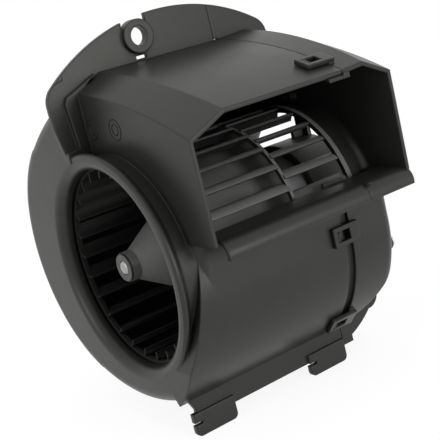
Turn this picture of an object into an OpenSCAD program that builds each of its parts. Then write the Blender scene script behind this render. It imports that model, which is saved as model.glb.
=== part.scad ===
// Cabin blower fan: a double-inlet squirrel-cage wheel in a two-part scroll casing.
// X runs along the fan axis from the open inlet to the motor, the mouth faces -Y and +Z is up.
// The origin is on the fan axis, in the plane of the left inlet's face.

/* [Casing] */
// Wall thickness of both casings
wall = 2; // [1.6:0.1:2.4]
// Width of the casings along the fan axis
casing_w = 146; // [143:1:152]
// Distance from the inlet face to the seam between the casings
seam_x = 113; // [106:1:117]
// Depth of the step between the inlet face and the left wall of the box
step_depth = 14; // [11:0.5:17]
// Radius of the lip round the left inlet
collar_r = 65.5; // [64.5:0.5:67]
// Thickness of the lip's edge
lip_t = 2.5; // [2:0.25:3]
// Radius of the neck behind the lip
neck_r = 61.5; // [61.25:0.25:62.5]
// Rounding of the casings' outer edges
edge_r = 8; // [5:0.5:9]

/* [Scroll] */
// Gap between the wheel and the casing where the scroll starts
cutoff_gap = 2.6; // [2:0.1:4]
// Radius of the front panel's curve
front_arc_r = 70; // [68:0.5:74]
// Height at which the front panel starts to curve
front_arc_z = -14.6; // [-17:0.2:-12]
// Radius of the scroll's back
back_arc_r = 78.4; // [77:0.2:82]
// Distance of the back's centre behind the fan axis
back_arc_y = 22.4; // [20:0.2:25]
// Height of the back's centre over the fan axis
back_arc_z = 4.5; // [3:0.5:7]
// Radius of the scroll's shallow bottom
bottom_arc_r = 123; // [116:1:132]
// Direction from the back's centre in which the bottom joins the back
bottom_join = -68; // [-71:1:-65]
// Direction from the back's centre in which the shallow top joins the back
top_join = 55; // [50:1:57]
// Height of the scroll's top at the flange plate over the back's highest point
top_lift = 11.5; // [10:0.5:13]

/* [Hood] */
// Distance from the fan axis to the mouth
mouth_y = 84; // [78:1:90]
// Height of the mouth's sill over the fan axis
sill_z = 17; // [14:0.5:20]
// Height of the mouth's top edge over the fan axis
mouth_top = 77.3; // [72:0.5:82]
// Height of the roof where it meets the flange plate
roof_top = 103; // [99:0.5:106]
// Bulge of the roof over the straight line from the mouth to the plate
roof_bulge = 3.9; // [2.5:0.1:6]
// Place of the left shoulder, where the roof starts to fall to the left wall
left_shoulder_x = 36.4; // [30:0.5:44]
// Fall of the left shoulder in degrees
left_fall = 23; // [16:1:28]
// Place of the right shoulder, where the roof starts to fall to the right wall
right_shoulder_x = 128; // [124:0.5:132]
// Fall of the right shoulder in degrees
right_fall = 26; // [20:1:30]
// Rise of the right casing's roof from the seam to its shoulder in degrees
right_rise = 4; // [2:0.5:6]
// Radius of the right casing's lower front corner
corner_r = 45; // [35:1:52]
// Radius of the nose under the mouth
nose_r = 8; // [6:0.5:9]
// Distance from the left wall of the box to the nose
nose_inset = 5.6; // [4:0.2:9]

/* [Flange] */
// Distance of the flange plate behind the fan axis
plate_y = 17; // [15:0.5:19]
// Thickness of the flange plate, the strip and the tabs
plate_t = 3; // [2.4:0.1:3.6]
// Radius of the plate's outer edge
plate_r = 121; // [118:1:126]
// Place along the fan axis of the centre of the plate's outer edge
plate_x = 78; // [74:1:82]
// Height of the centre of the plate's outer edge
plate_z = 7.5; // [6:0.5:9]
// Overhang of the plate over both side walls
plate_side = 3; // [2:0.5:6]
// Rounding of the plate's left and right corners
plate_corner_r = 12; // [8:1:16]
// Place along the fan axis where the plate changes from one casing to the other
plate_seam_x = 110; // [106:0.5:112]
// Width of the step round the hood's left root
root_w = 8.4; // [6:0.2:10]
// Height of the step over the falling shoulder
root_rise = 4; // [3:0.5:5]
// How far the step stands in front of the plate
root_proud = 3; // [2:0.5:4]
// Place of the ear along the fan axis
ear_x = 60; // [54:0.5:70]
// Height of the ear over the fan axis
ear_z = 116.5; // [115:0.5:118]
// Radius of the ear's boss
ear_r = 9.5; // [8.5:0.5:10]
// Radius of the ear's screw hole
ear_hole_r = 5.25; // [4:0.25:6]
// Height of the ear's boss over the plate
ear_proud = 3; // [2:0.5:4]
// Distance of the bottom strip in front of the fan axis
strip_y = 36.5; // [34:0.5:39]
// Height of the bottom strip's lower edge
strip_z = -83; // [-86:0.5:-80]
// Length of the tabs below the strip
tab_drop = 8; // [6:0.5:10]
// Width of both tabs
tab_w = 27; // [20:1:32]
// Place along the fan axis where the left tab starts
left_tab_x = 4.5; // [3:0.5:8]
// Place along the fan axis where the right tab starts
right_tab_x = 85.5; // [70:0.5:86]
// Forward offset of the tabs from the strip
tab_jog = 1.6; // [1:0.2:2.4]

/* [Seam] */
// Length of the lap that reaches into the left casing
lap_len = 10; // [7:0.5:12]
// Thickness of the lap
lap_t = 1.5; // [1.2:0.1:1.8]
// Clearance round the lap and between the casings
lap_fit = 0.25; // [0.15:0.05:0.4]
// Width of the open groove in the front of the seam
groove_w = 5.5; // [4:0.5:7]
// Length of the clip loops from the seam
clip_len = 14; // [12.5:0.5:17]
// Width of the clip loops
clip_w = 11; // [9:0.5:13]
// Thickness of the clip loops
clip_t = 2.4; // [1.8:0.2:3]

/* [Inlets] */
// Radius of the left inlet's throat
throat_r = 56; // [54:0.5:57]
// Radius of the inlets' bell rounding
bell_r = 6; // [5:0.5:7]
// Depth of the left bell from the inlet face
bell_depth = 8; // [7:0.5:10]
// Radius of the right inlet's throat
right_throat_r = 53; // [50:0.5:54]
// Depth of the right bell from the right wall's face
right_bell_depth = 15; // [13:0.5:17]

/* [Wheel] */
// Outer radius of the wheel
wheel_r = 58; // [57:0.5:59]
// Radial depth of the blades
blade_depth = 8; // [7:0.5:10]
// Number of blades in each row
blade_count = 26; // [20:1:30]
// Thickness of a blade
blade_t = 1.2; // [1:0.1:1.6]
// Radius of a blade's curve
blade_curve = 7; // [6:0.5:7.5]
// Axial gap between the wheel and both bells
wheel_end_gap = 1.5; // [1:0.1:3]
// Length of the right blade row, from the middle ring
right_row = 40.5; // [36:0.5:43]
// Width of the middle ring
mid_ring_w = 2; // [1.5:0.5:3]
// Width of the end rings
end_ring_w = 3; // [2:0.5:4]
// Radius of the wheel's hub
hub_r = 8.4; // [7.5:0.1:9.5]
// Thickness of the hub cone
cone_t = 2.2; // [1.6:0.2:3]
// Length of the hub in front of the cone
hub_len = 6; // [5:0.5:8]

/* [Motor] */
// Radius of the motor shaft
shaft_r = 4; // [3:0.25:4.5]
// Outer radius of the motor can
can_r = 30; // [28:0.5:31]
// Wall thickness of the motor can
can_t = 1.8; // [1.4:0.1:2.2]
// Distance from the right wall's face to the end of the motor can
motor_inset = 10; // [8:0.5:12]
// Length of the motor can
can_len = 74; // [70:1:76]
// Thickness of the field magnets
magnet_t = 3.6; // [3:0.2:4.2]
// Air gap between the magnets and the armature
air_gap = 0.7; // [0.5:0.1:1]
// Length of the armature core
core_len = 42; // [38:1:44]
// Number of armature slots
slot_count = 12; // [10:1:14]
// Radius of the commutator
comm_r = 10; // [9:0.5:11]
// Thickness of the rubber ring round the can
rubber_t = 2.6; // [2:0.2:3.2]
// Thickness of the motor carrier
carrier_t = 2.6; // [2.2:0.2:3.4]
// Width of the carrier's arms
arm_w = 10; // [8:0.5:12]
// Radius at which the carrier's screws sit
screw_ring_r = 60; // [59:0.25:61]
// Radius of the carrier's screws
screw_r = 2; // [1.5:0.25:2.25]
// Running clearance of the shaft in its bushes
run_fit = 0.03; // [0.02:0.01:0.06]
// Clearance between fixed pieces that seat in each other
seat_fit = 0.05; // [0.03:0.01:0.1]

/* [Hidden] */
$fn = 72;

black_plastic = [0.10, 0.10, 0.10];
wheel_plastic = [0.16, 0.16, 0.15];
steel = [0.70, 0.71, 0.72];
copper = [0.72, 0.42, 0.22];
brass = [0.78, 0.64, 0.32];

past = 1;             // how far a cut runs past the face that it opens
far = 300;            // longer than any piece
lead = 2.5;           // overlap of the spaces behind and in front of the flange
blend = 0.1;          // how far a curve stands over the run that it meets
lip_chamfer = 1;      // bevel of the lip's front edge
lip_fall = 4;         // run along the axis in which the lip falls to the neck
mould_step = 0.4;     // small step where the mould's back slide meets the scroll's top and bottom
step_lap = 5;         // how far the top and bottom run on under the back
bottom_reach = 12;    // how far the bottom's curve is drawn in front of the strip

box_x = step_depth;
panel_y = wheel_r + cutoff_gap + lap_t + lap_fit + wall;
front_arc_y = front_arc_r - panel_y;
cheek_turn = asin((sill_z - nose_r - front_arc_z) / front_arc_r) + 1;
front_end = acos((front_arc_y + strip_y - plate_t * 0.6) / front_arc_r);
bottom_y = back_arc_y + (back_arc_r - bottom_arc_r) * cos(bottom_join);
bottom_z = back_arc_z + (back_arc_r - bottom_arc_r) * sin(bottom_join);
bottom_from = -90 - asin((bottom_y + strip_y + bottom_reach) / bottom_arc_r);
// The top's radius follows from the height at which it meets the plate.
top_rise = [plate_y - back_arc_y, back_arc_r + top_lift];
top_arc_r = back_arc_r + (top_rise * top_rise - back_arc_r * back_arc_r)
    / (2 * (back_arc_r - top_rise * [cos(top_join), sin(top_join)]));
top_y = back_arc_y + (back_arc_r - top_arc_r) * cos(top_join);
top_z = back_arc_z + (back_arc_r - top_arc_r) * sin(top_join);
top_depth = top_arc_r * 0.6;
top_turn = 20;
top_lap = asin(step_lap / top_arc_r);
bottom_lap = asin(step_lap / bottom_arc_r);

// The roof is an arc from the mouth's top edge to the plate.
roof_run = plate_y + mouth_y;
roof_lift = roof_top - mouth_top;
roof_chord = norm([roof_run, roof_lift]);
roof_r = (roof_chord * roof_chord / 4 + roof_bulge * roof_bulge) / (2 * roof_bulge);
roof_y = (plate_y - mouth_y) / 2 + (roof_r - roof_bulge) * roof_lift / roof_chord;
roof_z = (roof_top + mouth_top) / 2 - (roof_r - roof_bulge) * roof_run / roof_chord;
right_shoulder_z = mouth_top + (right_shoulder_x - seam_x) * tan(right_rise);
nose_y = -mouth_y - 2 + nose_r;
nose_z = sill_z - nose_r;

wheel_x = bell_depth + wheel_end_gap;
right_bell_x = casing_w - right_bell_depth;
wheel_end = right_bell_x - wheel_end_gap;
mid_x = wheel_end - right_row - mid_ring_w;
mid_ring_r = wheel_r - 1.5;
blade_r = wheel_r - blade_depth;
hub_x = 8;
cone_x = hub_x + hub_len;
cone_end_x = mid_x - 6;
cone_end_r = blade_r - 2;

can_in_r = can_r - can_t;
can_end = casing_w - motor_inset;
can_x = can_end - can_len;
core_r = can_in_r - seat_fit - magnet_t - air_gap;
core_x = can_x + 12;
core_end = core_x + core_len;
winding_len = 8;
slot_depth = 9;
slot_w = 4;
comm_x = core_end + winding_len + 1;
comm_len = 10;
cap_t = 4;
cap_end = can_end + cap_t;
bush_r = shaft_r + 3.2;
bush_len = 7;
boss_r = bush_r + 2.5;
front_boss_x = can_x - 6;
rear_boss_end = cap_end + 5;
shaft_x = 6.5;
shaft_end = rear_boss_end + 2;
rubber_r = can_r + rubber_t;
ring_r = rubber_r + 3;
ring_x = can_end - 16;
lip_x = cap_end + 0.3;
carrier_x = casing_w;
carrier_end = carrier_x + carrier_t;
arm_angles = [90, 210, 330];
screw_boss_r = screw_r + 2.2;
screw_len = 6;
brush_w = 5;
brush_x = comm_x + 1;
brush_len = comm_len - 2;
brush_top = 21;
holder_wall = 1;
holder_from = comm_r + 3;
spigot_t = 1;
holder_end = can_in_r - spigot_t - 0.6;
brush_gap = 0.2;
comm_gap = 0.35;

// Helpers: each takes a flat outline or profile and puts it in place.
module along_x(x0, x1) {
    translate([x0, 0, 0]) rotate([90, 0, 90]) linear_extrude(x1 - x0) children();
}

module along_y(y0, y1) {
    translate([0, y1, 0]) rotate([90, 0, 0]) linear_extrude(y1 - y0) children();
}

// Turns a profile, drawn as radius and place along X, about an axis parallel to X.
module around_x(y = 0, z = 0, from = 0, sweep = 360) {
    rotate([90, 0, 90]) translate([y, z, 0]) rotate([0, 0, from]) rotate_extrude(angle = sweep) children();
}

// Runs the same profile straight along the tangent at the given direction.
module beside_x(y, z, direction, run) {
    rotate([90, 0, 90]) translate([y, z, 0]) rotate([0, 0, direction]) translate([0, max(run, 0), 0])
        rotate([90, 0, 0]) linear_extrude(abs(run)) children();
}

// A rectangle that ends at radius reach, with its outer corner rounded at one end.
module rim(reach, depth, x0, x1, round, at_left) {
    round_x = at_left ? x0 + round : x1 - round;
    translate([reach - depth, x0]) square([depth - round, x1 - x0]);
    translate([reach - depth, at_left ? round_x : x0]) square([depth, x1 - x0 - round]);
    translate([reach - round, round_x]) circle(round, $fn = 48);
}

module tube(r_out, r_in, x0, x1) {
    around_x() translate([r_in, x0]) square([r_out - r_in, x1 - x0]);
}

function toward(a) = [cos(a), sin(a)];

// Flat outlines of the air's way, seen along the fan axis. The inset counts from the outside.
module behind_flange(forward) {
    step_z = sill_z + lead;
    polygon([[plate_y - forward, step_z], [plate_y - forward, far], [far, far], [far, -far],
             [-strip_y - forward, -far], [-strip_y - forward, step_z]]);
}

// The slice of a disc that a curve takes, from its centre.
module slice(centre, r, from, to) {
    intersection() {
        translate(centre) circle(r, $fn = 360);
        polygon([centre, centre + 2 * r * toward(from), centre + 2 * r * toward((from + to) / 2),
                 centre + 2 * r * toward(to)]);
    }
}

module drum_outline(inset, forward) {
    intersection() {
        union() {
            translate([back_arc_y, back_arc_z]) circle(back_arc_r - inset, $fn = 180);
            slice([bottom_y, bottom_z], bottom_arc_r - inset - blend, bottom_from, bottom_join);
            intersection() {
                slice([top_y, top_z], top_arc_r - inset - blend, top_join, top_join + top_turn);
                translate([-far, 0]) square(2 * far);
            }
        }
        behind_flange(forward);
    }
}

module front_outline(inset) {
    front_y = -panel_y + inset + blend;
    intersection() {
        translate([front_arc_y, front_arc_z]) circle(front_arc_r - inset, $fn = 180);
        translate([-far, -far]) square([far - strip_y + plate_t * 0.4, far + sill_z]);
    }
    translate([front_y, front_arc_z]) square([front_arc_y - front_y, sill_z - wall + inset - front_arc_z]);
}

module hood_outline(inset) {
    open = inset > 0 ? past : 0;
    intersection() {
        translate([roof_y, roof_z]) circle(roof_r - inset, $fn = 360);
        translate([-mouth_y - open, sill_z - wall + inset]) square([roof_run + open + wall - inset, far]);
    }
}

// The outside of the scroll and the hood, with rounded edges.
module drum(x0, x1, at_left) {
    intersection() {
        union() {
            around_x(back_arc_y, back_arc_z, bottom_join, top_join - bottom_join, $fn = 180)
                rim(back_arc_r, back_arc_r, x0, x1, edge_r, at_left);
            around_x(bottom_y, bottom_z, bottom_from, bottom_join - bottom_from + bottom_lap, $fn = 240)
                rim(bottom_arc_r - mould_step, bottom_arc_r - mould_step, x0, x1, edge_r, at_left);
            around_x(top_y, top_z, top_join - top_lap, top_turn + top_lap, $fn = 360)
                rim(top_arc_r - mould_step, top_depth, x0, x1, edge_r, at_left);
        }
        along_x(x0 - past, x1 + past) behind_flange(0);
    }
}

module front_panel(x0, x1, at_left) {
    around_x(front_arc_y, front_arc_z, 180, front_end, $fn = 180)
        rim(front_arc_r, front_arc_r, x0, x1, edge_r, at_left);
    beside_x(front_arc_y, front_arc_z, 180, -(sill_z - wall - front_arc_z))
        rim(front_arc_r, front_arc_r, x0, x1, edge_r, at_left);
}

// The roof's arc as a slab, tilted about a line that runs from the mouth to the plate.
module roof_slab(inset, pivot_x, pivot_z, slope) {
    translate([pivot_x, 0, pivot_z]) rotate([0, -slope, 0]) translate([-pivot_x, 0, -mouth_top])
        along_x(-far, far) intersection() {
            translate([roof_y, roof_z]) circle(roof_r - inset, $fn = 360);
            translate([-mouth_y - 2 * past, -far]) square([roof_run + 4 * past + plate_t, 2 * far]);
        }
}

module hood_room(inset, x0, x1) {
    open = inset > 0 ? past : 0;
    floor_z = sill_z - wall + inset;
    along_x(x0, x1) translate([-mouth_y - open, floor_z])
        square([roof_run + open + wall - inset, far]);
}

module left_hood(inset, x0, x1) {
    intersection() {
        hood_room(inset, x0, x1);
        roof_slab(inset, 0, mouth_top, 0);
        roof_slab(inset, left_shoulder_x, mouth_top, left_fall);
    }
}

module right_hood(inset, x0, x1) {
    intersection() {
        hood_room(inset, x0, x1);
        roof_slab(inset, seam_x, mouth_top, right_rise);
        roof_slab(inset, right_shoulder_x, right_shoulder_z, -right_fall);
    }
}

// The lower front corner of the right casing, seen from the front.
module corner_room(inset) {
    corner_x = casing_w - corner_r;
    corner_z = -28;
    along_y(-far, far) {
        translate([-far, -far]) square([far + corner_x, 2 * far]);
        translate([-far, corner_z]) square([far + casing_w - inset, far]);
        translate([corner_x, corner_z]) circle(corner_r - inset, $fn = 96);
    }
}

module lap_outline(inset) {
    drum_outline(inset, lead);
    front_outline(inset);
    hood_outline(inset);
}

module lap_ring(inset, x0, x1) {
    along_x(x0, x1) difference() {
        lap_outline(inset);
        lap_outline(wall + lap_fit + lap_t);
    }
}

// The lap runs inside the left casing and is rooted in the right casing's wall.
module lap() {
    difference() {
        union() {
            lap_ring(wall + lap_fit, seam_x - lap_len, seam_x + lap_fit + past);
            lap_ring(wall / 2, seam_x + lap_fit, seam_x + 2 * wall);
        }
        lap_free_sill();
    }
}

// The mouth's sill stays free of the lap.
module lap_free_sill() {
    low = sill_z - wall / 4;
    translate([seam_x - lap_len - past, -mouth_y - 2 * past, low])
        cube([lap_len + 3 * wall, mouth_y + 2 * past - panel_y + wall + lap_fit, wall + lap_fit + lap_t]);
}

// The nose under the mouth: the sill rolled over to the front.
module nose(x0, x1) {
    along_x(x0, x1) {
        intersection() {
            translate([nose_y, nose_z]) difference() {
                circle(nose_r);
                circle(nose_r - wall);
            }
            translate([nose_y - nose_r - past, nose_z - 2]) square([nose_r + past, nose_r + 2 + past]);
        }
        translate([nose_y - wall / 4, sill_z - wall]) square([wall, wall]);
    }
}

// Room in front of the sill's straight part, which the nose takes up.
module nose_room(x0, x1) {
    along_x(x0, x1) translate([-mouth_y - past, sill_z - wall - past])
        square([nose_y + mouth_y + past, wall + past]);
}

// The flange plate, seen from the front, between two places along the fan axis.
module plate_outline(x0, x1) {
    taper = 9;
    low_z = collar_r - 4;
    intersection() {
        translate([plate_x, plate_z]) circle(plate_r, $fn = 180);
        polygon([[-plate_side, low_z + 2 * taper], [0, low_z], [casing_w, low_z],
                 [casing_w + plate_side, low_z + 2 * taper], [casing_w + plate_side, far], [-plate_side, far]]);
        translate([x0, 0]) square([x1 - x0, far]);
        plate_corners(-plate_side + plate_corner_r, casing_w + plate_side - plate_corner_r);
    }
}

// The room under the plate's two rounded corners, whose centres lie at the given places along the fan axis.
module plate_corners(left_x, right_x) {
    reach = plate_r - plate_corner_r;
    translate([left_x, 0]) square([right_x - left_x, far]);
    for (x = [left_x, right_x]) {
        z = plate_z + sqrt(reach * reach - (x - plate_x) * (x - plate_x));
        translate([x, z]) circle(plate_corner_r);
        translate([x < plate_x ? x - far : x, 0]) square([far, z]);
    }
}

// The step round the hood's left root, which frames it against the plate and ends on the lip.
module root_step() {
    taper = 1.7;
    foot = 0.5;
    foot_low = neck_r - 2 * wall;
    fall = tan(left_fall);
    top_x = left_shoulder_x - root_rise / fall;
    corner_x = box_x - root_w + taper;
    corner_z = roof_top - (top_x - corner_x) * fall;
    low_z = collar_r + 2;
    along_y(plate_y - root_proud, plate_y + plate_t / 2)
        polygon([[top_x, roof_top], [corner_x, corner_z], [box_x - root_w, corner_z - 2 * taper],
                 [corner_x, low_z], [-foot, collar_r + foot], [-foot, foot_low], [box_x + wall / 2, foot_low],
                 [box_x + wall / 2, roof_top - root_w]]);
}

module ear_boss() {
    along_y(plate_y - ear_proud, plate_y + plate_t) translate([ear_x, ear_z]) circle(ear_r);
}

module ear_hole() {
    along_y(plate_y - ear_proud - past, plate_y + plate_t + past) translate([ear_x, ear_z]) circle(ear_hole_r);
}

// The plate is cut back round the upper half of the ear.
module ear_relief() {
    half_w = ear_r * 0.86;
    along_y(plate_y - past, plate_y + plate_t + past) difference() {
        translate([ear_x - half_w, ear_z + ear_r / 2]) square([2 * half_w, 2 * ear_r]);
        translate([ear_x, ear_z]) circle(ear_r);
    }
}

// A slot in the plate's root under the ear, left by the mould.
module ear_slot() {
    slot_l = 7;
    slot_h = 1.8;
    translate([ear_x - slot_l / 2, plate_y - past, roof_top + 1]) cube([slot_l, plate_t + 2 * past, slot_h]);
}

module strip_outline() {
    root_z = front_arc_z - front_arc_r * sin(front_end) + 3 * wall;
    start_x = 2;
    slant = 6;
    end_x = seam_x - lap_fit;
    polygon([[start_x, root_z], [start_x, strip_z + 3 * slant], [start_x + slant, strip_z + slant],
             [start_x + slant, strip_z], [end_x, strip_z], [end_x, root_z]]);
}

module tab_outline(x0) {
    round = 3;
    low = strip_z - tab_drop;
    translate([x0, low + round]) square([tab_w, tab_drop + 2]);
    translate([x0 + round, low]) square([tab_w - 2 * round, round + past]);
    for (x = [x0 + round, x0 + tab_w - round])
        translate([x, low + round]) circle(round, $fn = 32);
}

module tabs() {
    notch_l = 5;
    notch_h = 1.6;
    along_y(-strip_y - tab_jog, -strip_y - tab_jog + plate_t)
        for (x0 = [left_tab_x, right_tab_x]) difference() {
            tab_outline(x0);
            translate([x0 - past, strip_z - notch_h]) square([notch_l + past, notch_h]);
        }
}

// The right casing's share of the bottom flange follows its cut corner.
module corner_flange_outline() {
    edge_w = 10;
    corner_x = casing_w - corner_r;
    intersection() {
        translate([seam_x + lap_fit, strip_z]) square([casing_w - 9 - seam_x, 28]);
        union() {
            translate([corner_x, -28]) circle(corner_r + edge_w, $fn = 96);
            translate([seam_x, strip_z]) square([8, 40]);
        }
    }
}

// Profile of a bell that turns in from a casing's face.
module bell_profile(r, depth) {
    intersection() {
        translate([r + bell_r, bell_r]) difference() {
            circle(bell_r, $fn = 48);
            circle(bell_r - wall, $fn = 48);
        }
        translate([r, 0]) square(bell_r);
    }
    translate([r, bell_r]) square([wall, depth - bell_r]);
    translate([r + bell_r - past / 2, 0]) square([past, wall]);
}

module left_bell() {
    around_x() bell_profile(throat_r, bell_depth);
}

// The lip round the left inlet and the narrower neck that joins it to the box.
module inlet_neck() {
    neck_end = box_x + wall;
    around_x() polygon([[0, 0], [collar_r - lip_chamfer, 0], [collar_r, lip_chamfer], [collar_r, lip_t],
                        [neck_r, lip_t + lip_fall], [neck_r, neck_end], [0, neck_end]]);
}

// The front panel runs on to the left below the sill, up to a slanting edge beside the lip.
module cheek_outline(inset) {
    top = [box_x + 3, sill_z - nose_r];
    low = [0, strip_z + 33];
    side_x = box_x + edge_r + wall;
    polygon([[top[0] + inset, top[1]], [low[0] + inset, low[1]], [low[0] + inset, -far],
             [side_x, -far], [side_x, top[1]]]);
}

module front_cheek() {
    intersection() {
        around_x(front_arc_y, front_arc_z, 180 - cheek_turn, front_end + cheek_turn, $fn = 180)
            square([front_arc_r, box_x + edge_r + past]);
        along_y(-far, 0) cheek_outline(0);
    }
}

// The space behind the cheek, between it and the neck.
module front_cheek_room() {
    difference() {
        intersection() {
            along_x(wall, box_x + wall + past) front_outline(wall);
            along_y(-far, 0) cheek_outline(wall);
        }
        tube(neck_r, 0, 0, box_x + 2 * wall);
    }
}

module right_bell() {
    translate([casing_w, 0, 0]) mirror([1, 0, 0]) around_x()
        bell_profile(right_throat_r, casing_w - right_bell_x);
}

// Clips: each has a loop on the right casing that snaps over a catch on the left one.
function roof_at(y) = roof_z + sqrt(roof_r * roof_r - (y - roof_y) * (y - roof_y));
function roof_tilt(y) = -asin((y - roof_y) / roof_r);
front_clip_turn = 44;
clip_places = [
    [-70, roof_at(-70), roof_tilt(-70)],
    [-panel_y, -10.6, 90],
    [front_arc_y - front_arc_r * cos(front_clip_turn), front_arc_z - front_arc_r * sin(front_clip_turn),
     90 + front_clip_turn]];

module at_clips() {
    for (p = clip_places)
        translate([seam_x, p[0], p[1]]) rotate([p[2], 0, 0]) children();
}

clip_bar = 2.5;
clip_gap = 0.4;
module clip_loop() {
    root = 4;
    difference() {
        union() {
            translate([-clip_len, -clip_w / 2, clip_gap]) cube([clip_len + root, clip_w, clip_t]);
            translate([lap_fit, -clip_w / 2, -wall / 2]) cube([root - lap_fit, clip_w, wall / 2 + clip_gap + clip_t / 2]);
        }
        translate([-clip_len + clip_bar, -clip_w / 2 + clip_bar, -past])
            cube([clip_len - 2 * clip_bar, clip_w - 2 * clip_bar, clip_t + 3 * past]);
    }
}

// A catch with a sloping back, standing in the loop's window.
module clip_catch() {
    catch_w = clip_w - 2 * clip_bar - 2 * clip_gap;
    catch_l = 3;
    catch_x = -clip_len + clip_bar + clip_gap;
    translate([0, catch_w / 2, 0]) rotate([90, 0, 0]) linear_extrude(catch_w)
        polygon([[catch_x, -wall / 2], [catch_x, clip_gap + clip_t], [catch_x + 1, clip_gap + clip_t],
                 [catch_x + catch_l, clip_gap], [catch_x + catch_l, -wall / 2]]);
}

module seam_groove() {
    top_z = sill_z - nose_r - 3;
    translate([seam_x - groove_w, -mouth_y, strip_z + 18]) cube([groove_w + past, mouth_y - strip_y - 2, top_z - strip_z - 18]);
}

module left_outside() {
    run_x = seam_x + past;
    drum(0, run_x, true);
    inlet_neck();
    front_panel(box_x, run_x, true);
    front_cheek();
    left_hood(0, box_x, run_x);
    along_y(plate_y, plate_y + plate_t) plate_outline(-far, plate_seam_x);
    along_y(-strip_y, -strip_y + plate_t) strip_outline();
    tabs();
    root_step();
    ear_boss();
}

module left_inside() {
    round_x = box_x + edge_r;
    run_x = seam_x + 2 * past;
    along_x(wall, edge_r + past) drum_outline(edge_r, -plate_t);
    along_x(edge_r, box_x + wall + past) drum_outline(wall + mould_step, -plate_t);
    along_x(box_x + wall, round_x + past) {
        drum_outline(wall, lead);
        front_outline(edge_r / 2);
    }
    along_x(round_x, run_x) {
        drum_outline(wall, lead);
        front_outline(wall);
    }
    left_hood(wall, box_x + wall, run_x);
    tube(neck_r - wall, 0, wall, box_x + wall + past);
    front_cheek_room();
    tube(throat_r + bell_r, 0, -past, wall + past);
    nose_room(box_x + wall, run_x);
}

module left_body() {
    difference() {
        left_outside();
        left_inside();
    }
    left_bell();
    nose(box_x + nose_inset, seam_x + past);
    at_clips() clip_catch();
}

// One flat cut ends the left casing at the seam.
module beyond_seam() {
    translate([seam_x, -far, -far]) cube([far, 2 * far, 2 * far]);
}

module left_casing() {
    color(black_plastic) difference() {
        left_body();
        beyond_seam();
        ear_hole();
        ear_relief();
        ear_slot();
        seam_groove();
    }
}

module right_outside() {
    run_x = seam_x + lap_fit - past;
    drum(run_x, casing_w, false);
    intersection() {
        front_panel(run_x, casing_w, false);
        corner_room(0);
    }
    right_hood(0, run_x, casing_w);
    along_y(plate_y, plate_y + plate_t) plate_outline(run_x, far);
    along_y(-strip_y, -strip_y + plate_t) corner_flange_outline();
}

// The right plate's tongue, which runs on over the left casing's roof.
module plate_tongue() {
    tongue_z = roof_top + 2 * lap_fit;
    along_y(plate_y, plate_y + plate_t) intersection() {
        plate_outline(plate_seam_x + lap_fit, seam_x + wall);
        translate([0, tongue_z]) square([far, far]);
    }
}

module before_seam() {
    translate([seam_x + lap_fit - far, -far, -far]) cube([far, 2 * far, 2 * far]);
}

module right_inside() {
    inner_x = seam_x - 2 * past;
    inner_end = casing_w - wall;
    round_x = casing_w - edge_r;
    along_x(inner_x, round_x) drum_outline(wall, -plate_t);
    along_x(round_x - past, inner_end) drum_outline(edge_r, -plate_t);
    intersection() {
        union() {
            along_x(inner_x, round_x) {
                drum_outline(wall, lead);
                front_outline(wall);
            }
            along_x(round_x - past, inner_end) {
                drum_outline(edge_r, lead);
                front_outline(edge_r);
            }
        }
        corner_room(wall);
    }
    right_hood(wall, inner_x, inner_end);
    nose_room(inner_x, inner_end);
    tube(right_throat_r + bell_r, 0, inner_end - past, casing_w + past);
}

module right_body() {
    difference() {
        right_outside();
        right_inside();
        before_seam();
    }
    right_bell();
    plate_tongue();
    nose(seam_x + lap_fit, casing_w);
    lap();
    at_clips() clip_loop();
    at_screws() cylinder(r = screw_boss_r, h = screw_len - wall / 2);
}

module right_casing() {
    color(black_plastic) difference() {
        right_body();
        at_screws() translate([0, 0, -wall - past]) cylinder(r = screw_r, h = screw_len + wall, $fn = 32);
    }
}

// The carrier's screw places on the inner side of the right wall, looking into the casing.
module at_screws() {
    for (a = arm_angles)
        rotate([a, 0, 0]) translate([casing_w - wall / 2, screw_ring_r, 0]) rotate([0, -90, 0]) children();
}

module motor_carrier() {
    pad_r = screw_boss_r + 0.5;
    color(black_plastic) difference() {
        union() {
            tube(ring_r, rubber_r + seat_fit, ring_x, carrier_end);
            tube(rubber_r + 1, can_r - 3.2, lip_x, carrier_end);
            for (a = arm_angles) rotate([a, 0, 0]) {
                translate([carrier_x, ring_r - 1, -arm_w / 2]) cube([carrier_t, screw_ring_r - ring_r + 1, arm_w]);
                translate([carrier_x, screw_ring_r, 0]) rotate([0, 90, 0]) cylinder(r = pad_r, h = carrier_t);
                translate([carrier_x - 8, ring_r - 1, -1.2]) cube([8, 5, 2.4]);
            }
        }
        for (a = arm_angles) rotate([a, 0, 0])
            translate([carrier_x - past, screw_ring_r, 0]) rotate([0, 90, 0])
                cylinder(r = screw_r + seat_fit, h = carrier_t + 2 * past, $fn = 32);
    }
}

module carrier_screws() {
    head_r = screw_r + 1.8;
    head_h = 1.8;
    color(steel) for (a = arm_angles) rotate([a, 0, 0])
        translate([carrier_end, screw_ring_r, 0]) rotate([0, 90, 0]) difference() {
            union() {
                cylinder(r = head_r, h = head_h, $fn = 32);
                translate([0, 0, -carrier_t - screw_len + 2]) cylinder(r = screw_r - seat_fit, h = carrier_t + screw_len - 1, $fn = 32);
            }
            for (t = [0, 90]) rotate([0, 0, t]) translate([-head_r * 0.65, -0.5, head_h - 1]) cube([head_r * 1.3, 1, 2]);
        }
}

module damping_ring() {
    groove = 0.6;
    color([0.06, 0.06, 0.06]) around_x() difference() {
        translate([can_r + seat_fit, ring_x + 2]) square([rubber_t - seat_fit, 12]);
        for (i = [0 : 2]) translate([rubber_r, ring_x + 4 + 4 * i]) circle(groove, $fn = 24);
    }
}

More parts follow.
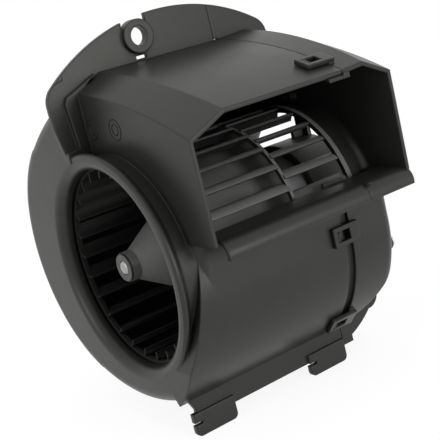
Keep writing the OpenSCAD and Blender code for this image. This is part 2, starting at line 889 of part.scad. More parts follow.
// One forward-curved blade, seen along the axis: a quarter of a thin ring.
module blade_outline() {
    intersection() {
        circle(wheel_r - 0.3, $fn = 180);
        translate([blade_r, blade_curve]) difference() {
            circle(blade_curve, $fn = 48);
            circle(blade_curve - blade_t, $fn = 48);
        }
        translate([blade_r, 0]) square([blade_depth, blade_curve]);
    }
}

module blade_row(x0, x1, turn) {
    along_x(x0, x1) for (i = [0 : blade_count - 1])
        rotate(turn + i * 360 / blade_count) blade_outline();
}

module impeller() {
    half_pitch = 180 / blade_count;
    ring_lip = 3;
    color(wheel_plastic) {
        difference() {
            union() {
                tube(hub_r, 0, hub_x, cone_x + 12);
                around_x() polygon([
                    [hub_r - cone_t, cone_x], [hub_r, cone_x - 1], [cone_end_r, cone_end_x],
                    [mid_ring_r - 2, mid_x + mid_ring_w / 4],
                    [mid_ring_r - 2, mid_x + mid_ring_w * 3 / 4], [cone_end_r - cone_t, cone_end_x + cone_t],
                    [hub_r - cone_t, cone_x + 1.6 * cone_t]]);
                tube(mid_ring_r, blade_r - 1, mid_x, mid_x + mid_ring_w);
                tube(wheel_r, wheel_r - ring_lip, wheel_x, wheel_x + end_ring_w);
                tube(wheel_r, wheel_r - ring_lip, wheel_end - end_ring_w, wheel_end);
                blade_row(wheel_x, mid_x + mid_ring_w / 2, 0);
                blade_row(mid_x + mid_ring_w / 2, wheel_end, half_pitch);
            }
            tube(shaft_r + seat_fit, 0, hub_x - past, cone_x + 12 + past);
        }
    }
}

module hub_retaining_ring() {
    color([0.45, 0.45, 0.45]) around_x()
        translate([shaft_r + seat_fit, hub_x - 1.2]) square([hub_r - shaft_r - 0.8, 1.2]);
}

module motor_shaft() {
    tip = 0.8;
    color(steel) around_x() polygon([[0, shaft_x], [shaft_r - tip, shaft_x], [shaft_r, shaft_x + tip],
        [shaft_r, shaft_end - tip], [shaft_r - tip, shaft_end], [0, shaft_end]]);
}

module motor_can() {
    vent_w = 7;
    color([0.30, 0.31, 0.32]) difference() {
        union() {
            tube(can_r, 0, can_x, can_end);
            tube(boss_r, 0, front_boss_x, can_x + can_t);
        }
        tube(can_in_r, 0, can_x + can_t, can_end + past);
        tube(bush_r + seat_fit, 0, front_boss_x + 1, can_x + can_t + past);
        tube(shaft_r + 1, 0, front_boss_x - past, can_x);
        for (a = [45 : 90 : 315]) rotate([a, 0, 0])
            translate([can_x - past, boss_r + 3, -vent_w / 2]) cube([can_t + 2 * past, can_r - boss_r - 9, vent_w]);
    }
}

module magnet(from) {
    arc = 130;
    color([0.22, 0.22, 0.23]) around_x(0, 0, from - arc / 2, arc)
        translate([can_in_r - seat_fit - magnet_t, core_x - 2]) square([magnet_t, core_len + 4]);
}

module back_magnet() {
    magnet(0);
}

module front_magnet() {
    magnet(180);
}

module slots(clear) {
    for (i = [0 : slot_count - 1]) rotate((i + 0.5) * 360 / slot_count)
        translate([core_r - slot_depth + clear, -slot_w / 2 + clear]) square([slot_depth - 2.5 - clear, slot_w - 2 * clear]);
}

module armature_core() {
    slit_w = 1.4;
    color([0.42, 0.43, 0.45]) along_x(core_x, core_end) difference() {
        circle(core_r);
        circle(shaft_r + seat_fit);
        slots(0);
        for (i = [0 : slot_count - 1]) rotate((i + 0.5) * 360 / slot_count)
            translate([core_r - 3, -slit_w / 2]) square([4, slit_w]);
    }
}

// The copper: bars in the slots, a rounded bundle of end turns on each side and the leads to the commutator.
module armature_winding() {
    bundle_in = shaft_r + 2;
    bundle_out = core_r - 2.6;
    round = 2.5;
    lead_r = comm_r + 2;
    color(copper) {
        tube(lead_r, bundle_in + round, core_end + winding_len - round, comm_x - seat_fit);
        along_x(core_x - 1, core_end + 1) slots(0.15);
        for (x0 = [core_x - winding_len, core_end + seat_fit]) around_x() {
            translate([bundle_in + round, x0]) square([bundle_out - bundle_in - 2 * round, winding_len - seat_fit]);
            translate([bundle_in, x0 + round]) square([bundle_out - bundle_in, winding_len - seat_fit - 2 * round]);
            for (r = [bundle_in + round, bundle_out - round], x = [x0 + round, x0 + winding_len - seat_fit - round])
                translate([r, x]) circle(round, $fn = 24);
        }
    }
}

module commutator() {
    slit_w = 0.6;
    slit_depth = 0.9;
    color(copper) difference() {
        tube(comm_r, shaft_r + seat_fit, comm_x, comm_x + comm_len);
        along_x(comm_x - past, comm_x + comm_len + past) for (i = [0 : slot_count - 1])
            rotate(i * 360 / slot_count) translate([comm_r - slit_depth, -slit_w / 2]) square([4, slit_w]);
    }
}

module front_bearing() {
    color(brass) tube(bush_r, shaft_r + run_fit, front_boss_x + 1, front_boss_x + 1 + bush_len);
}

module rear_bearing() {
    color(brass) tube(bush_r, shaft_r + run_fit, rear_boss_end - 1 - bush_len, rear_boss_end - 1);
}

module thrust_washers() {
    washer_t = 1;
    front_x = front_boss_x + 1 + bush_len + 0.3;
    rear_x = rear_boss_end - 1 - bush_len - washer_t - 0.3;
    color([0.85, 0.82, 0.72]) for (x = [front_x, rear_x])
        tube(bush_r - 0.4, shaft_r + seat_fit, x, x + washer_t);
}

// The end cap closes the can, holds the rear bush and carries the plug socket of the terminals.
module end_cap() {
    socket_y = 5.5;
    socket_z = 9;
    socket_t = 1.6;
    color([0.12, 0.12, 0.12]) difference() {
        union() {
            tube(can_r, 0, can_end, cap_end);
            tube(can_in_r - seat_fit, can_in_r - spigot_t, can_end - 3, can_end);
            tube(boss_r, 0, can_end, rear_boss_end);
            translate([can_end, terminal_y - socket_y, -socket_z]) cube([cap_t + 12, 2 * socket_y, 2 * socket_z]);
        }
        tube(bush_r + seat_fit, 0, rear_boss_end - 1 - bush_len - past, rear_boss_end - 1);
        tube(shaft_r + 1, 0, can_end - past, rear_boss_end + past);
        translate([cap_end, terminal_y - socket_y + socket_t, -socket_z + socket_t])
            cube([cap_t + 12, 2 * (socket_y - socket_t), 2 * (socket_z - socket_t)]);
        for (z = [-terminal_z, terminal_z])
            translate([can_end - past, terminal_y - terminal_t / 2 - seat_fit, z - terminal_w / 2 - seat_fit])
                cube([cap_t + 2 * past, terminal_t + 2 * seat_fit, terminal_w + 2 * seat_fit]);
        for (a = [60, 120, 240, 300]) rotate([a, 0, 0])
            translate([can_end - past, boss_r + 4, -2.5]) cube([cap_t + 2 * past, 7, 5]);
    }
}

terminal_y = 19;
terminal_z = 4;
terminal_w = 5;
terminal_t = 0.8;
module terminals() {
    color(brass) for (z = [-terminal_z, terminal_z])
        translate([can_end - 6, terminal_y - terminal_t / 2, z - terminal_w / 2])
            cube([cap_t + 15, terminal_t, terminal_w]);
}

// Brush gear, drawn for the upper side. The lower side is its mirror image.
module brush_holder() {
    outer_w = brush_w + 2 * (brush_gap + holder_wall);
    color(brass) difference() {
        translate([brush_x - brush_gap - holder_wall, -outer_w / 2, holder_from])
            cube([can_end - brush_x + brush_gap + holder_wall, outer_w, holder_end - holder_from]);
        translate([brush_x - brush_gap, -brush_w / 2 - brush_gap, holder_from - past])
            cube([brush_len + 2 * brush_gap, brush_w + 2 * brush_gap, holder_end - holder_wall - holder_from + past]);
    }
}

module carbon_brush() {
    color([0.15, 0.15, 0.16]) difference() {
        translate([brush_x, -brush_w / 2, comm_r - 1]) cube([brush_len, brush_w, brush_top - comm_r + 1]);
        tube(comm_r + comm_gap, 0, brush_x - past, brush_x + brush_len + past);
    }
}

module brush_spring() {
    spring_r = 1.9;
    wire_r = 0.4;
    low = brush_top + 0.05;
    high = holder_end - holder_wall - 0.05;
    turns = 4;
    pitch = (high - low - 2 * wire_r) / (turns - 1);
    color(steel) translate([brush_x + brush_len / 2, 0, low + wire_r])
        for (i = [0 : turns - 1]) translate([0, 0, i * pitch])
            rotate_extrude() translate([spring_r, 0]) circle(wire_r, $fn = 16);
}

module upper_brush_holder() {
    brush_holder();
}

module lower_brush_holder() {
    mirror([0, 0, 1]) brush_holder();
}

module upper_carbon_brush() {
    carbon_brush();
}

module lower_carbon_brush() {
    mirror([0, 0, 1]) carbon_brush();
}

module upper_brush_spring() {
    brush_spring();
}

module lower_brush_spring() {
    mirror([0, 0, 1]) brush_spring();
}

left_casing();
right_casing();
motor_carrier();
carrier_screws();
damping_ring();
impeller();
hub_retaining_ring();
motor_shaft();
motor_can();
back_magnet();
front_magnet();
armature_core();
armature_winding();
commutator();
front_bearing();
rear_bearing();
thrust_washers();
end_cap();
upper_brush_holder();
lower_brush_holder();
upper_carbon_brush();
lower_carbon_brush();
upper_brush_spring();
lower_brush_spring();
terminals();
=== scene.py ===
# %% [markdown]
# # A cabin blower, dressed for its picture
# The construction model gives every piece of the blower at its real size, in metres, with the fan
# axis along X. This lesson keeps those pieces where they are and gives each one the surface of the
# real thing: satin moulded plastic, ground steel, sintered bronze, copper and rubber.

# %% Load the blower
import math
import bmesh
import bpy
from mathutils import Matrix, Vector


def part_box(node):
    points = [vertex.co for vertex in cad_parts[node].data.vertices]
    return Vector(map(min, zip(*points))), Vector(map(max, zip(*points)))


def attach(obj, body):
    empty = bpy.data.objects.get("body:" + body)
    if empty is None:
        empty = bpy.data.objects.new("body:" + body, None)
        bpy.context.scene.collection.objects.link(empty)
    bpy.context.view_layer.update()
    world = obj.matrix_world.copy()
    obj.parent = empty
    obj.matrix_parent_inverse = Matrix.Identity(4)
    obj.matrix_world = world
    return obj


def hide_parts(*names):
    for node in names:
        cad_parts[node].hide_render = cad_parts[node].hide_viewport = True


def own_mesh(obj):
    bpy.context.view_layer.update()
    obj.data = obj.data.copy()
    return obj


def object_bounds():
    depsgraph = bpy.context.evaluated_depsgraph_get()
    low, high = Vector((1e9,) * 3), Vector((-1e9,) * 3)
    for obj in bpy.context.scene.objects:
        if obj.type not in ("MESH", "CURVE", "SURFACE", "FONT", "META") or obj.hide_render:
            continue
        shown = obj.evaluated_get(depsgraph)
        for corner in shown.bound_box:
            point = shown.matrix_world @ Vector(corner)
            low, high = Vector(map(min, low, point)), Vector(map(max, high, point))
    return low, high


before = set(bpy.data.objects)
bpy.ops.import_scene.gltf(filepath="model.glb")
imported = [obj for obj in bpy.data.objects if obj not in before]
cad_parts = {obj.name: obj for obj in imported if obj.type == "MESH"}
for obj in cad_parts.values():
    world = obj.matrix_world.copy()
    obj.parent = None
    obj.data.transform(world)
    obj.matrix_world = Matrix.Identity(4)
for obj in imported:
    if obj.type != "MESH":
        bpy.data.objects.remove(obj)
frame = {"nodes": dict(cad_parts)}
nodes = frame["nodes"]
cad_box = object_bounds()
MM = 0.001
print("pieces of the blower:", len(nodes))

# %% [markdown]
# ## Small shader sums
# A finish is easier to read as a formula than as a drawing of nodes. `Wire` holds one socket and
# turns +, - and * into Math nodes. `Nodes` holds one node tree and has a single method, `node`, for
# every other kind of node. `Finish` is the tree of a material. All are short, so nothing about the
# materials is hidden.

# %% A socket that can be used in a sum
class Wire:
    def __init__(self, nodes, socket):
        self.nodes = nodes
        self.socket = socket

    def math(self, operation, first, second):
        return self.nodes.node("ShaderNodeMath", {"operation": operation}, {0: first, 1: second})

    def __add__(self, other):
        return self.math("ADD", self, other)

    def __sub__(self, other):
        return self.math("SUBTRACT", self, other)

    def __rsub__(self, other):
        return self.math("SUBTRACT", other, self)

    def __mul__(self, other):
        return self.math("MULTIPLY", self, other)

    __radd__ = __add__
    __rmul__ = __mul__


# %% A node tree with one way to add a node
class Nodes:
    def __init__(self, tree):
        self.tree = tree

    def node(self, kind, settings=None, inputs=None, output=0):
        made = self.tree.nodes.new(kind)
        for key, value in (settings or {}).items():
            if key == "stops":
                self.set_stops(made.color_ramp, value)
            else:
                setattr(made, key, value)
        for key, value in (inputs or {}).items():
            self.join(value, made.inputs[key])
        return Wire(self, made.outputs[output])

    def set_stops(self, ramp, stops):
        while len(ramp.elements) < len(stops):
            ramp.elements.new(1.0)
        for element, (place, level) in zip(ramp.elements, stops):
            element.position = place
            element.color = (level, level, level, 1)

    def join(self, value, socket):
        if isinstance(value, Wire):
            self.tree.links.new(value.socket, socket)
        else:
            socket.default_value = value


# %% A material and its shader
class Finish(Nodes):
    def __init__(self, name, **constants):
        self.material = bpy.data.materials.new(name)
        self.material.use_nodes = True
        super().__init__(self.material.node_tree)
        self.shader = self.tree.nodes["Principled BSDF"]
        for socket, value in constants.items():
            self.feed(socket.replace("_", " "), value)

    def feed(self, socket, value):
        self.join(value, self.shader.inputs[socket])


print("shader helpers ready:", Wire.__name__, Nodes.__name__, Finish.__name__)

# %% [markdown]
# ## Textures that every finish shares
# All objects sit at the origin, so the Object coordinate is the place on the blower in metres, and
# a noise of scale 1000 has features about a millimetre wide. The Bevel node looks at the surface
# just around a point: where its normal differs from the flat one there is an edge, which is where
# real plastic is rubbed pale; the pale edge also stands in for the light an edge catches, so it is
# partly wear and partly a painted highlight. The Ambient Occlusion node is its opposite: it tells
# how enclosed a point is, and there the colour is darkened as painted shade.

# %% Places, noise, edges and the final bump
def places(finish):
    return finish.node("ShaderNodeTexCoord", output="Object")


def noise(finish, scale, detail=2.0, rough=0.5):
    inputs = {"Vector": places(finish), "Scale": scale, "Detail": detail, "Roughness": rough}
    return finish.node("ShaderNodeTexNoise", {"noise_dimensions": "3D"}, inputs)


def steps(finish, value, *stops):
    return finish.node("ShaderNodeValToRGB", {"stops": stops}, {"Fac": value})


def soft_edges(finish, radius):
    return finish.node("ShaderNodeBevel", {"samples": 6}, {"Radius": radius})


def edge_mask(finish, radius, gain):
    rounded = soft_edges(finish, radius)
    flat = finish.node("ShaderNodeNewGeometry", output="Normal")
    bent = (1 - dot(finish, rounded, flat)) * gain
    return finish.node("ShaderNodeClamp", inputs={"Value": bent})


def openness(finish, reach):
    return finish.node("ShaderNodeAmbientOcclusion", {"samples": 8}, {"Distance": reach}, output="AO")


def spread(finish, value, low, high):
    return finish.node("ShaderNodeMapRange", inputs={"Value": value, "From Min": low, "From Max": high})


def vector(finish, operation, *values, output="Vector"):
    return finish.node("ShaderNodeVectorMath", {"operation": operation}, dict(enumerate(values)), output)


def dot(finish, first, second):
    return vector(finish, "DOT_PRODUCT", first, second, output="Value")


def blend_colours(finish, amount, first, second):
    settings = {"data_type": "RGBA"}
    inputs = {"Factor": amount, 6: first, 7: second}
    return finish.node("ShaderNodeMix", settings, inputs, output=2)


def emboss(finish, height, depth, strength, radius):
    inputs = {"Strength": strength, "Distance": depth, "Height": height}
    inputs["Normal"] = soft_edges(finish, radius)
    finish.feed("Normal", finish.node("ShaderNodeBump", inputs=inputs))


def grey(level, tint=0.0):
    return (level, level, level * (1 + tint), 1)


print("shared textures ready")

# %% [markdown]
# ## Where light reaches the wheel
# The wheel turns about X, so the place without its X part points out from the axis. A face that
# looks outward gets light through the mouth. The blades' inner edges, between the hub's cone and
# the rim, lie in their neighbours' shade. Both are painted into the wheel's colour: outward faces
# keep a light tone as painted light, and the gaps between the blades are darkened as painted shade.

# %% Outward faces and the gaps between the blades
hub_edge = (44 * MM, 47 * MM)
lit_rim = (50.5 * MM, 55 * MM)
gap_shade = 0.85


def from_axis(finish):
    return vector(finish, "MULTIPLY", places(finish), (0, 1, 1))


def outward_light(finish):
    outward = vector(finish, "NORMALIZE", from_axis(finish))
    normal = finish.node("ShaderNodeNewGeometry", output="Normal")
    return spread(finish, dot(finish, normal, outward), 0.05, 0.4)


def blade_gap_shade(finish):
    radius = vector(finish, "LENGTH", from_axis(finish), output="Value")
    return spread(finish, radius, *hub_edge) * (1 - spread(finish, radius, *lit_rim))


print("blades are lit from", lit_rim[0], "to", lit_rim[1], "m from the axis")

# %% [markdown]
# ## Satin black plastic
# The casings are black polypropylene. Fresh from the mould it is never one flat black: the melt
# leaves broad cloudy patches with a little more or less gloss, the tool leaves a very fine grain,
# handling leaves faint pale rubs on the corners and a few specks of dust. Each of these is one line
# here; the pale rubs are also a painted highlight on the edges. Enclosed places and crevices get
# painted shade: their colour is drawn nearly black. The wheel and the motor's end cap are the same
# plastic; the wheel's much lighter tone is painted light on its outward faces, and its other faces
# and the gaps between its blades get painted shade.

# %% Black plastic of the casings, the wheel and the end cap
crevice_reach = 9 * MM
# Share of the colour that is left in painted shade, in enclosed places and crevices.
painted_shade_level = 0.06
rubbed_and_highlit_pale = 2.4
warm = -0.05


def black_plastic(name, level, gloss, grain, reach, corner, on_wheel=False):
    finish = Finish(name, IOR=1.48, Specular_IOR_Level=0.34, Specular_Tint=(1.0, 1.0, 0.94, 1))
    clouds = noise(finish, 38.0, detail=4.0, rough=0.6)
    flow = noise(finish, 160.0, detail=3.0)
    fine = noise(finish, 2600.0, detail=1.0)
    specks = steps(finish, noise(finish, 900.0, detail=0.0), (0.72, 0.0), (0.80, 1.0))
    # Pale edges: partly wear and partly a painted highlight where edges catch the light.
    rubbed = edge_mask(finish, 0.9 * MM, 1.6) * (0.35 + 0.65 * flow)
    pale = 0.5 * rubbed + 0.12 * specks + 0.35 * clouds
    unshaded_colour = blend_colours(finish, pale, grey(level, warm), grey(level * rubbed_and_highlit_pale, warm))
    # Painted shade: enclosed places and crevices are darkened in the base colour.
    crevice_shade = spread(finish, openness(finish, crevice_reach), 0.35, 0.85)
    painted_light_mask = spread(finish, openness(finish, reach), 0.08, 0.42) * (0.5 + 0.5 * crevice_shade)
    if on_wheel:
        # Painted light and shade on the wheel: only outward faces outside the blade gaps keep the light
        # tone.
        painted_light_mask = painted_light_mask * outward_light(finish) * (1 - gap_shade * blade_gap_shade(finish))
    finish.feed("Base Color", blend_colours(finish, painted_light_mask, grey(level * painted_shade_level), unshaded_colour))
    finish.feed("Roughness", gloss + 0.16 * clouds + 0.06 * fine - 0.05 * rubbed + 0.25 * (1 - painted_light_mask))
    emboss(finish, fine * grain + 0.5 * flow, 0.12 * MM, 0.35, corner)
    return finish.material


casing_black = black_plastic("casing_black", 0.020, 0.25, 0.6, 38 * MM, 1.4 * MM)
# The wheel's light base level is painted light for its outward faces; the rest gets painted shade.
wheel_black = black_plastic("wheel_black", 0.125, 0.32, 0.3, 14 * MM, 0.5 * MM, on_wheel=True)
cap_black = black_plastic("cap_black", 0.022, 0.30, 0.5, 20 * MM, 0.5 * MM)
for made in (casing_black, wheel_black, cap_black):
    print("finish:", made.name, "nodes", len(made.node_tree.nodes))

# %% [markdown]
# ## Metals
# Turned and ground metal shows fine rings or lines along one direction. Squeezing the coordinate
# before the noise stretches the pattern, so the same noise gives turning marks on the shaft and
# layer lines on the stacked core; the motor can and the bronze take it unstretched.

# %% Stretched noise and the metal finish
def stretched(finish, stretch, scale):
    place = vector(finish, "MULTIPLY", places(finish), stretch)
    inputs = {"Vector": place, "Scale": scale, "Detail": 3.0, "Roughness": 0.6}
    return finish.node("ShaderNodeTexNoise", {"noise_dimensions": "3D"}, inputs)


turned = (30.0, 1.0, 1.0)
stacked = (60.0, 1.0, 1.0)
even = (1.0, 1.0, 1.0)


def metal(name, colour, dull, roughness, stretch=turned, depth=0.02):
    finish = Finish(name, Metallic=1.0)
    lines = stretched(finish, stretch, 400.0)
    stain = noise(finish, 70.0, detail=4.0)
    rubbed = edge_mask(finish, 0.5 * MM, 1.5)
    finish.feed("Base Color", blend_colours(finish, 0.75 * stain + 0.25 * lines, colour, dull))
    finish.feed("Roughness", roughness + 0.18 * lines + 0.10 * stain - 0.08 * rubbed)
    emboss(finish, lines, depth * MM, 0.4, 0.25 * MM)
    return finish.material


shaft_steel = metal("ground_steel", (0.42, 0.42, 0.41, 1), (0.30, 0.30, 0.30, 1), 0.30)
zinc_steel = metal("zinc_plate", (0.66, 0.67, 0.68, 1), (0.48, 0.50, 0.52, 1), 0.28)
ring_steel = metal("phosphated_steel", (0.14, 0.14, 0.135, 1), (0.09, 0.09, 0.09, 1), 0.42)
can_steel = metal("motor_can_steel", (0.46, 0.46, 0.46, 1), (0.34, 0.35, 0.36, 1), 0.36, even)
core_steel = metal("stacked_sheets", (0.40, 0.41, 0.43, 1), (0.28, 0.29, 0.31, 1), 0.40, stacked, 0.05)
copper = metal("turned_copper", (0.80, 0.44, 0.26, 1), (0.62, 0.30, 0.16, 1), 0.24)
bronze = metal("sintered_bronze", (0.66, 0.49, 0.25, 1), (0.46, 0.34, 0.18, 1), 0.42, even, 0.06)
brass = metal("pressed_brass", (0.80, 0.63, 0.32, 1), (0.64, 0.48, 0.22, 1), 0.26)
print("metals:", shaft_steel.name, zinc_steel.name, copper.name, bronze.name)

# %% [markdown]
# ## Wire, ferrite, rubber and carbon
# These sit inside the motor and show only through its vents or when the blower is taken apart, but
# each still has its own skin: varnished wire lies in turns, fired ferrite is matt and speckled,
# rubber has a dry bloom, and pressed carbon glitters a little with graphite.

# %% Varnished copper wire
def varnished_wire():
    finish = Finish("varnished_wire", Metallic=0.85, Coat_Roughness=0.15)
    wave_settings = {"wave_type": "RINGS", "rings_direction": "X", "wave_profile": "SIN"}
    wave_inputs = {"Vector": places(finish), "Scale": 320.0, "Distortion": 2.5, "Detail": 2.0}
    turns = finish.node("ShaderNodeTexWave", wave_settings, wave_inputs, output="Fac")
    finish.feed("Base Color", blend_colours(finish, turns, (0.30, 0.11, 0.04, 1), (0.66, 0.29, 0.12, 1)))
    finish.feed("Roughness", 0.42 - 0.16 * turns)
    finish.feed("Coat Weight", 0.3 + 0.4 * turns)
    emboss(finish, turns, 0.35 * MM, 0.8, 0.2 * MM)
    return finish.material


# %% Matt materials with a grain
def matt(name, dark, light, roughness, scale, depth):
    finish = Finish(name, IOR=1.45)
    grain = noise(finish, scale, detail=4.0, rough=0.7)
    clouds = noise(finish, scale / 12, detail=2.0)
    finish.feed("Base Color", blend_colours(finish, 0.5 * grain + 0.5 * clouds, dark, light))
    finish.feed("Roughness", roughness + 0.15 * grain)
    emboss(finish, grain, depth * MM, 0.5, 0.3 * MM)
    return finish.material


wire = varnished_wire()
ferrite = matt("fired_ferrite", grey(0.05), grey(0.12, 0.05), 0.62, 700.0, 0.10)
rubber = matt("bloomed_rubber", grey(0.014), grey(0.034, 0.03), 0.70, 420.0, 0.08)
carbon = matt("pressed_carbon", grey(0.020), grey(0.075, 0.04), 0.45, 1500.0, 0.05)
washer_white = matt("washer_plastic", (0.62, 0.58, 0.47, 1), (0.80, 0.77, 0.68, 1), 0.42, 500.0, 0.04)
print("matt finishes:", ferrite.name, rubber.name, carbon.name, washer_white.name)

# %% [markdown]
# ## Every piece gets its finish
# The pieces stay as they were built. Only the material in their slot changes.

# %% Assign the finishes
finish_of = {
    "left_casing": casing_black, "right_casing": casing_black, "motor_carrier": casing_black,
    "carrier_screws": zinc_steel, "damping_ring": rubber, "impeller": wheel_black,
    "hub_retaining_ring": ring_steel, "motor_shaft": shaft_steel, "motor_can": can_steel,
    "back_magnet": ferrite, "front_magnet": ferrite, "armature_core": core_steel,
    "armature_winding": wire, "commutator": copper, "front_bearing": bronze, "rear_bearing": bronze,
    "thrust_washers": washer_white, "end_cap": cap_black, "upper_brush_holder": brass,
    "lower_brush_holder": brass, "upper_carbon_brush": carbon, "lower_carbon_brush": carbon,
    "upper_brush_spring": ring_steel, "lower_brush_spring": ring_steel, "terminals": brass,
}
for name, material in finish_of.items():
    nodes[name].data.materials.clear()
    nodes[name].data.materials.append(material)
print("dressed", len(finish_of), "of", len(nodes), "pieces")

# %% [markdown]
# ## A helper for small mesh pieces
# Detail that is too fine for the construction model is added as meshes of its own. A ring or a coil
# is a profile carried along a path, so one function that joins rows of points into a skin serves
# them all.

# %% Skin a grid of points
def skin(name, rows, material, close_rows, close_points, smooth=True):
    mesh = bmesh.new()
    grid = [[mesh.verts.new(point) for point in row] for row in rows]
    row_count = len(grid)
    point_count = len(grid[0])
    for i in range(row_count if close_rows else row_count - 1):
        for k in range(point_count if close_points else point_count - 1):
            here = grid[i]
            following = grid[(i + 1) % row_count]
            after = (k + 1) % point_count
            mesh.faces.new((here[k], here[after], following[after], following[k]))
    if not close_rows:
        mesh.faces.new(grid[0][::-1])
        mesh.faces.new(grid[-1])
    bmesh.ops.recalc_face_normals(mesh, faces=mesh.faces)
    data = bpy.data.meshes.new(name)
    mesh.to_mesh(data)
    mesh.free()
    for face in data.polygons:
        face.use_smooth = smooth
    data.materials.append(material)
    piece = bpy.data.objects.new(name, data)
    bpy.context.scene.collection.objects.link(piece)
    return piece


print("mesh helper ready:", skin.__name__)

# %% [markdown]
# ## Moulded marks on the left wall
# Such casings carry small round tool marks. Here they stay plain: a raised ring with a smaller one
# inside it, and nothing that could be read. They stand a quarter of a millimetre proud of the wall
# that carries them.

# %% Round tool marks
wall_x = 14.0 * MM
mark_rise = 0.25 * MM
mark_root = 0.15 * MM


def ring_mark(name, centre_y, centre_z, radius, width):
    sides = 64
    half, quarter = width / 2, width / 4
    profile = [(-half, mark_root), (-quarter, -mark_rise), (quarter, -mark_rise), (half, mark_root)]
    centre = Vector((wall_x, centre_y, centre_z))
    rows = []
    for i in range(sides):
        turn = 2 * math.pi * i / sides
        out = Vector((0, math.cos(turn), math.sin(turn)))
        rows.append([centre + out * (radius + across) + Vector((along, 0, 0))
                     for across, along in profile])
    piece = skin(name, rows, casing_black, close_rows=True, close_points=True)
    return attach(piece, "housing")


mark_places = ((8.4 * MM, 75.2 * MM), (-16.9 * MM, 74.6 * MM))
for number, (mark_y, mark_z) in enumerate(mark_places, 1):
    ring_mark(f"tool_mark_{number}_outer", mark_y, mark_z, 5.6 * MM, 0.8 * MM)
    ring_mark(f"tool_mark_{number}_inner", mark_y, mark_z, 3.0 * MM, 0.7 * MM)
print("tool marks at", [[round(v * 1000, 1) for v in place] for place in mark_places])

# %% [markdown]
# ## Webs on the flange plate's corners
# The flange plate's outline is one large arc with a rounding at either end. The construction model
# leaves a small step between them. A thin web fills it and carries the arc on to where it touches
# the rounding. It lies in the plate's own thickness, a hair under its faces.

# %% Corner webs
plate_x, plate_z, plate_r = 78.0 * MM, 7.5 * MM, 121.0 * MM
plate_front, plate_back = 17.0 * MM, 20.0 * MM
rounding = 12.0 * MM
left_corner_x, right_corner_x = 9.0 * MM, 137.0 * MM
hair = 0.03 * MM
sunk = 0.3 * MM


def on_circle(x, z, radius, start, end, count=14):
    turns = [start + (end - start) * i / (count - 1) for i in range(count)]
    return [(x + radius * math.cos(turn), z + radius * math.sin(turn)) for turn in turns]


def corner_web(name, corner_x):
    away = corner_x - plate_x
    inner = away - math.copysign(sunk, away)
    corner_z = plate_z + math.sqrt((plate_r - rounding) ** 2 - away ** 2)
    touch = math.atan2(corner_z - plate_z, away)
    outline = on_circle(plate_x, plate_z, plate_r, touch, math.acos(inner / plate_r))
    outline.append((plate_x + inner, corner_z + rounding - sunk))
    outline += on_circle(corner_x, corner_z, rounding - sunk, math.pi / 2, touch)
    rows = [[Vector((x, y, z)) for x, z in outline] for y in (plate_front + hair, plate_back - hair)]
    piece = skin(name, rows, casing_black, close_rows=False, close_points=True, smooth=False)
    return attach(piece, "housing")


corner_web("left_plate_web", left_corner_x)
corner_web("right_plate_web", right_corner_x)
print("plate webs lie between", plate_front, "and", plate_back, "m")

# %% [markdown]
# ## Coil springs behind the brushes
# The construction model stands each spring as a few rings. The real one is a wire helix, so a small
# circle is carried along a helix of even pitch. The real spring shortens when its brush is pushed
# back; the coil here keeps one length.


def wound_spring(name, node):
    low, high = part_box(node)
    wire_r = 0.4 * MM
    wire_sides = 10
    coil_r = (high.x - low.x) / 2 - wire_r
    centre = (low + high) / 2
    turns = 5
    per_turn = 28
    count = turns * per_turn
    rows = []
    for i in range(count + 1):
        share = i / count
        z = low.z + wire_r + share * (high.z - low.z - 2 * wire_r)
        turn = 2 * math.pi * turns * share
        out = Vector((math.cos(turn), math.sin(turn), 0))
        middle = Vector((centre.x, centre.y, z)) + out * coil_r
        ring = [middle + wire_r * (out * math.cos(a) + Vector((0, 0, 1)) * math.sin(a))
                for a in (2 * math.pi * k / wire_sides for k in range(wire_sides))]
        rows.append(ring)
    piece = skin(name, rows, ring_steel, close_rows=False, close_points=True)
    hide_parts(node)
    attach(piece, "housing")
    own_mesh(piece)
    return piece


upper_coil = wound_spring("upper_spring_coil", "upper_brush_spring")
lower_coil = wound_spring("lower_spring_coil", "lower_brush_spring")
print("springs:", upper_coil.name, lower_coil.name)

# %% [markdown]
# ## Floor and backdrop
# A pale floor under the lowest tabs catches a soft shadow. To the camera, in mirrors and through
# glass most of the floor is white, like the backdrop, and the rest of it is shaded, which is what
# keeps the shadow. As a light on the black plastic it stays at a plain level.

# %% Floor
floor_glow = 1.26
white_share = 0.7


def white_rays(nodes):
    camera_ray, mirror_ray, glass_ray = (nodes.node("ShaderNodeLightPath", output=ray) for ray in (
        "Is Camera Ray", "Is Glossy Ray", "Is Transmission Ray"))
    return camera_ray + mirror_ray + glass_ray


def pale_floor():
    finish = Finish("pale_floor", Base_Color=(0.85, 0.85, 0.85, 1), Roughness=0.9)
    shaded = Wire(finish, finish.shader.outputs[0])
    white = finish.node("ShaderNodeEmission", inputs={"Strength": floor_glow})
    share = finish.node("ShaderNodeClamp", inputs={"Value": white_rays(finish)}) * white_share
    mixed = finish.node("ShaderNodeMixShader", inputs={0: share, 1: shaded, 2: white})
    finish.join(mixed, finish.tree.nodes["Material Output"].inputs["Surface"])
    return finish.material


floor_z = cad_box[0][2]
floor_mesh = bpy.data.meshes.new("floor")
floor_half = 3.0
floor_corners = [(x * floor_half, y * floor_half, floor_z)
                 for x, y in ((-1, -1), (1, -1), (1, 1), (-1, 1))]
floor_mesh.from_pydata(floor_corners, [], [(0, 1, 2, 3)])
floor_mesh.materials.append(pale_floor())
floor = bpy.data.objects.new("floor", floor_mesh)
bpy.context.scene.collection.objects.link(floor)
print("floor at", round(floor_z * 1000, 1), "mm")

# %% [markdown]
# ## Studio light
# Black plastic shows its form by what it mirrors, so the lamps are large and soft: a main one high
# on the left, a fill in front on the right and a broad one above. The world is white to the camera
# and in reflections, and dimmer as a light.

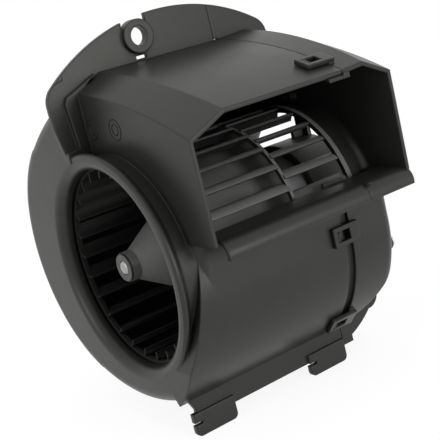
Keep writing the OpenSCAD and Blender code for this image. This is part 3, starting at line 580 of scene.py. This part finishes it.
# %% World and lamps
def white_world(light):
    world = bpy.data.worlds.new("white_room")
    bpy.context.scene.world = world
    world.use_nodes = True
    room = Nodes(world.node_tree)
    background = room.tree.nodes["Background"]
    room.join((1, 1, 1, 1), background.inputs["Color"])
    seen = room.node("ShaderNodeClamp", inputs={"Value": white_rays(room)})
    room.join(light + (1 - light) * seen, background.inputs["Strength"])


def soft_lamp(name, place, target, size, watts):
    data = bpy.data.lights.new(name, "AREA")
    data.shape = "DISK"
    data.size = size
    data.energy = watts
    lamp = bpy.data.objects.new(name, data)
    lamp.location = place
    aim = Vector(target) - Vector(place)
    lamp.rotation_euler = aim.to_track_quat("-Z", "Y").to_euler()
    bpy.context.scene.collection.objects.link(lamp)
    return lamp


white_world(0.4)
middle = (Vector(cad_box[0]) + Vector(cad_box[1])) / 2
lamps = [
    soft_lamp("main", (-1.5, -0.1, 0.5), middle, 0.9, 6.0),
    soft_lamp("fill", (0.4, -1.4, 0.1), middle, 0.8, 11.0),
    soft_lamp("above", (0.1, 0.2, 1.5), middle, 1.0, 1.0),
]
print("lamps:", [lamp.name for lamp in lamps])

# %% [markdown]
# ## The camera
# The photograph was taken from the left front, a little above the blower, with the camera tipped to
# one side. The view is built from its three directions, so the roll is part of the same matrix.

# %% Camera at the photograph's view
view_turn = math.radians(32.5)
view_drop = math.radians(12.65)
view_roll = math.radians(-13.74)
view_place = Vector((-0.2295, -0.4761, 0.1318))
level = math.cos(view_drop)
forward = Vector((math.sin(view_turn) * level, math.cos(view_turn) * level, -math.sin(view_drop)))
level_right = forward.cross(Vector((0, 0, 1))).normalized()
level_up = level_right.cross(forward)
right = level_right * math.cos(view_roll) + level_up * math.sin(view_roll)
up = level_up * math.cos(view_roll) - level_right * math.sin(view_roll)
camera_data = bpy.data.cameras.new("camera")
camera_data.sensor_width = 36.0
camera_data.lens = 82.6
camera = bpy.data.objects.new("camera", camera_data)
view_directions = Matrix((right, up, -forward)).transposed().to_4x4()
camera.matrix_world = Matrix.Translation(view_place) @ view_directions
bpy.context.scene.collection.objects.link(camera)
bpy.context.scene.camera = camera
bpy.context.scene.view_settings.view_transform = "Standard"
print("camera at", [round(v, 3) for v in view_place], "lens", camera_data.lens)
